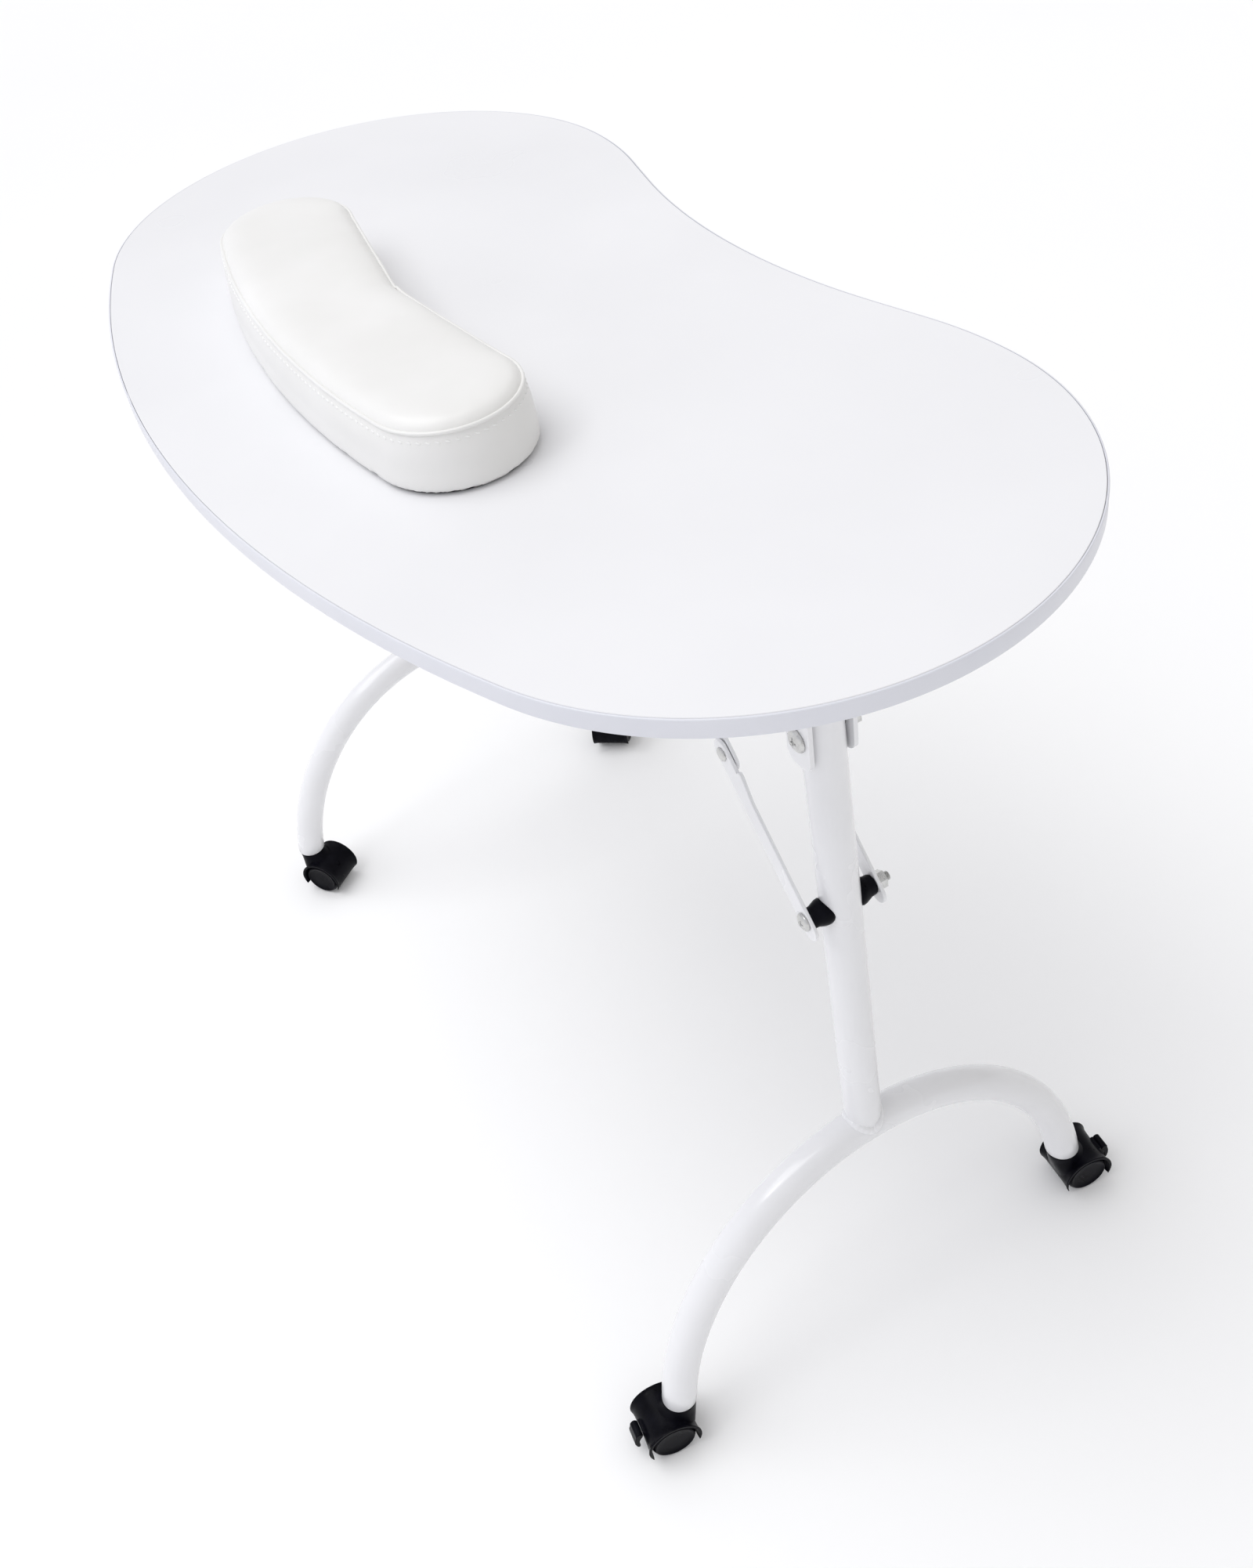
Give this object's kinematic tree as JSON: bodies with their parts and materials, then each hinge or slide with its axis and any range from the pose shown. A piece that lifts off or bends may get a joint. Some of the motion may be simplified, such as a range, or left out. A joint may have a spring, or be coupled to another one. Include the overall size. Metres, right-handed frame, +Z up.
{
  "type": "manicure table",
  "caption": "Folding manicure table with a kidney-shaped top, a bean-shaped wrist cushion, and leaning legs with arched feet on swivel casters.",
  "frame": {"origin": "on the floor, under the middle of the table's outer box", "axes": "+X along the length of the top towards the near leg, the one that folds under the other; +Y towards the hollow side of the top, where the technician sits; +Z up"},
  "size_m": [0.9138, 0.4709, 0.7595],
  "materials": {
    "white_laminate": "fibreboard faced with a satin white laminate",
    "edge_plastic": "smooth white edge banding, slightly bluish",
    "white_leather": "soft white leatherette with fine grain and stitched piping",
    "dark_base": "dark non-slip base board",
    "white_paint": "white powder coat, semi-gloss",
    "black_plastic": "moulded black nylon, satin",
    "bright_steel": "zinc-plated steel"
  },
  "bodies": {
    "table": {"tabletop_board": "white_laminate", "edge_band": "edge_plastic", "near_leg_bracket": "white_paint", "near_pivot_bolt": "bright_steel", "near_pivot_nut": "bright_steel", "near_stay_bracket": "white_paint", "near_stay_pin": "bright_steel", "far_leg_bracket": "white_paint", "far_pivot_bolt": "bright_steel", "far_pivot_nut": "bright_steel", "far_stay_bracket": "white_paint", "far_stay_pin": "bright_steel"},
    "near_leg": {"near_leg_post": "white_paint", "near_foot_arch": "white_paint", "near_stay_bolt": "bright_steel", "near_stay_nut": "bright_steel", "near_spacer_front": "black_plastic", "near_spacer_back": "black_plastic"},
    "near_lower_links": {"near_lower_link_front": "white_paint", "near_rivet_front": "bright_steel", "near_lower_link_back": "white_paint", "near_rivet_back": "bright_steel"},
    "near_upper_links": {"near_upper_link_front": "white_paint", "near_upper_link_back": "white_paint"},
    "far_leg": {"far_leg_post": "white_paint", "far_foot_arch": "white_paint", "far_stay_bolt": "bright_steel", "far_stay_nut": "bright_steel", "far_spacer_front": "black_plastic", "far_spacer_back": "black_plastic"},
    "far_lower_links": {"far_lower_link_front": "white_paint", "far_rivet_front": "bright_steel", "far_lower_link_back": "white_paint", "far_rivet_back": "bright_steel"},
    "far_upper_links": {"far_upper_link_front": "white_paint", "far_upper_link_back": "white_paint"},
    "near_front_caster": {"near_front_caster_hood": "black_plastic", "near_front_caster_stem": "bright_steel", "near_front_caster_axle": "bright_steel"},
    "near_front_left_wheel": {"near_front_wheel_left": "black_plastic"},
    "near_front_right_wheel": {"near_front_wheel_right": "black_plastic"},
    "near_front_brake": {"near_front_brake_lever": "black_plastic"},
    "near_back_caster": {"near_back_caster_hood": "black_plastic", "near_back_caster_stem": "bright_steel", "near_back_caster_axle": "bright_steel"},
    "near_back_left_wheel": {"near_back_wheel_left": "black_plastic"},
    "near_back_right_wheel": {"near_back_wheel_right": "black_plastic"},
    "near_back_brake": {"near_back_brake_lever": "black_plastic"},
    "far_front_caster": {"far_front_caster_hood": "black_plastic", "far_front_caster_stem": "bright_steel", "far_front_caster_axle": "bright_steel"},
    "far_front_left_wheel": {"far_front_wheel_left": "black_plastic"},
    "far_front_right_wheel": {"far_front_wheel_right": "black_plastic"},
    "far_back_caster": {"far_back_caster_hood": "black_plastic", "far_back_caster_stem": "bright_steel", "far_back_caster_axle": "bright_steel"},
    "far_back_left_wheel": {"far_back_wheel_left": "black_plastic"},
    "far_back_right_wheel": {"far_back_wheel_right": "black_plastic"},
    "cushion": {"wrist_cushion": "white_leather", "cushion_base": "dark_base"}
  },
  "joints": [
    {"name": "near_leg_fold", "type": "hinge", "parent": "table", "child": "near_leg", "pos_m": [0.34629, 0.0045, 0.596], "axis": [0, 1, 0], "range_deg": [0, 92.95]},
    {"name": "near_lower_links_turn", "type": "hinge", "parent": "near_leg", "child": "near_lower_links", "pos_m": [0.35356, 0.0045, 0.45489], "axis": [0, 1, 0], "range_deg": [0, 35.19]},
    {"name": "near_upper_links_turn", "type": "hinge", "parent": "table", "child": "near_upper_links", "pos_m": [0.14296, 0.0045, 0.684], "axis": [0, 1, 0], "range_deg": [-23.5, 0]},
    {"name": "far_leg_fold", "type": "hinge", "parent": "table", "child": "far_leg", "pos_m": [-0.33361, 0.0045, 0.648], "axis": [0, -1, 0], "range_deg": [0, 92.95]},
    {"name": "far_lower_links_turn", "type": "hinge", "parent": "far_leg", "child": "far_lower_links", "pos_m": [-0.34088, 0.0045, 0.50689], "axis": [0, -1, 0], "range_deg": [0, 55.21]},
    {"name": "far_upper_links_turn", "type": "hinge", "parent": "table", "child": "far_upper_links", "pos_m": [-0.085, 0.0045, 0.684], "axis": [0, -1, 0], "range_deg": [-23.51, 0]},
    {"name": "near_front_caster_swivel", "type": "hinge", "parent": "near_leg", "child": "near_front_caster", "pos_m": [0.37463, -0.1834, 0.046], "axis": [0, 0, 1], "continuous": true},
    {"name": "near_front_left_wheel_spin", "type": "hinge", "parent": "near_front_caster", "child": "near_front_left_wheel", "pos_m": [0.37228, -0.19821, 0.018], "axis": [0.9877, -0.1564, 0], "continuous": true},
    {"name": "near_front_right_wheel_spin", "type": "hinge", "parent": "near_front_caster", "child": "near_front_right_wheel", "pos_m": [0.37228, -0.19821, 0.018], "axis": [0.9877, -0.1564, 0], "continuous": true},
    {"name": "near_front_brake_press", "type": "hinge", "parent": "near_front_caster", "child": "near_front_brake", "pos_m": [0.36859, -0.22152, 0.025], "axis": [-0.9877, 0.1564, 0], "range_deg": [0, 25]},
    {"name": "near_back_caster_swivel", "type": "hinge", "parent": "near_leg", "child": "near_back_caster", "pos_m": [0.37463, 0.1924, 0.046], "axis": [0, 0, 1], "continuous": true},
    {"name": "near_back_left_wheel_spin", "type": "hinge", "parent": "near_back_caster", "child": "near_back_left_wheel", "pos_m": [0.37672, 0.20725, 0.018], "axis": [-0.9903, 0.1392, 0], "continuous": true},
    {"name": "near_back_right_wheel_spin", "type": "hinge", "parent": "near_back_caster", "child": "near_back_right_wheel", "pos_m": [0.37672, 0.20725, 0.018], "axis": [-0.9903, 0.1392, 0], "continuous": true},
    {"name": "near_back_brake_press", "type": "hinge", "parent": "near_back_caster", "child": "near_back_brake", "pos_m": [0.38, 0.23062, 0.025], "axis": [0.9903, -0.1392, 0], "range_deg": [0, 25]},
    {"name": "far_front_caster_swivel", "type": "hinge", "parent": "far_leg", "child": "far_front_caster", "pos_m": [-0.36463, -0.1834, 0.046], "axis": [0, 0, 1], "continuous": true},
    {"name": "far_front_left_wheel_spin", "type": "hinge", "parent": "far_front_caster", "child": "far_front_left_wheel", "pos_m": [-0.35249, -0.17458, 0.018], "axis": [-0.5878, 0.809, 0], "continuous": true},
    {"name": "far_front_right_wheel_spin", "type": "hinge", "parent": "far_front_caster", "child": "far_front_right_wheel", "pos_m": [-0.35249, -0.17458, 0.018], "axis": [-0.5878, 0.809, 0], "continuous": true},
    {"name": "far_back_caster_swivel", "type": "hinge", "parent": "far_leg", "child": "far_back_caster", "pos_m": [-0.36463, 0.1924, 0.046], "axis": [0, 0, 1], "continuous": true},
    {"name": "far_back_left_wheel_spin", "type": "hinge", "parent": "far_back_caster", "child": "far_back_left_wheel", "pos_m": [-0.35314, 0.18275, 0.018], "axis": [0.6428, 0.766, 0], "continuous": true},
    {"name": "far_back_right_wheel_spin", "type": "hinge", "parent": "far_back_caster", "child": "far_back_right_wheel", "pos_m": [-0.35314, 0.18275, 0.018], "axis": [0.6428, 0.766, 0], "continuous": true},
    {"name": "cushion_lift", "type": "slide", "parent": "table", "child": "cushion", "axis": [0, 0, 1], "range_m": [0, 0.15]}
  ],
  "couplings": [
    {"joint": "near_lower_links_turn", "follows": "near_leg_fold", "ratio": 0.37856},
    {"joint": "near_upper_links_turn", "follows": "near_leg_fold", "ratio": -0.25279},
    {"joint": "far_lower_links_turn", "follows": "far_leg_fold", "ratio": 0.59396},
    {"joint": "far_upper_links_turn", "follows": "far_leg_fold", "ratio": -0.25287}
  ]
}
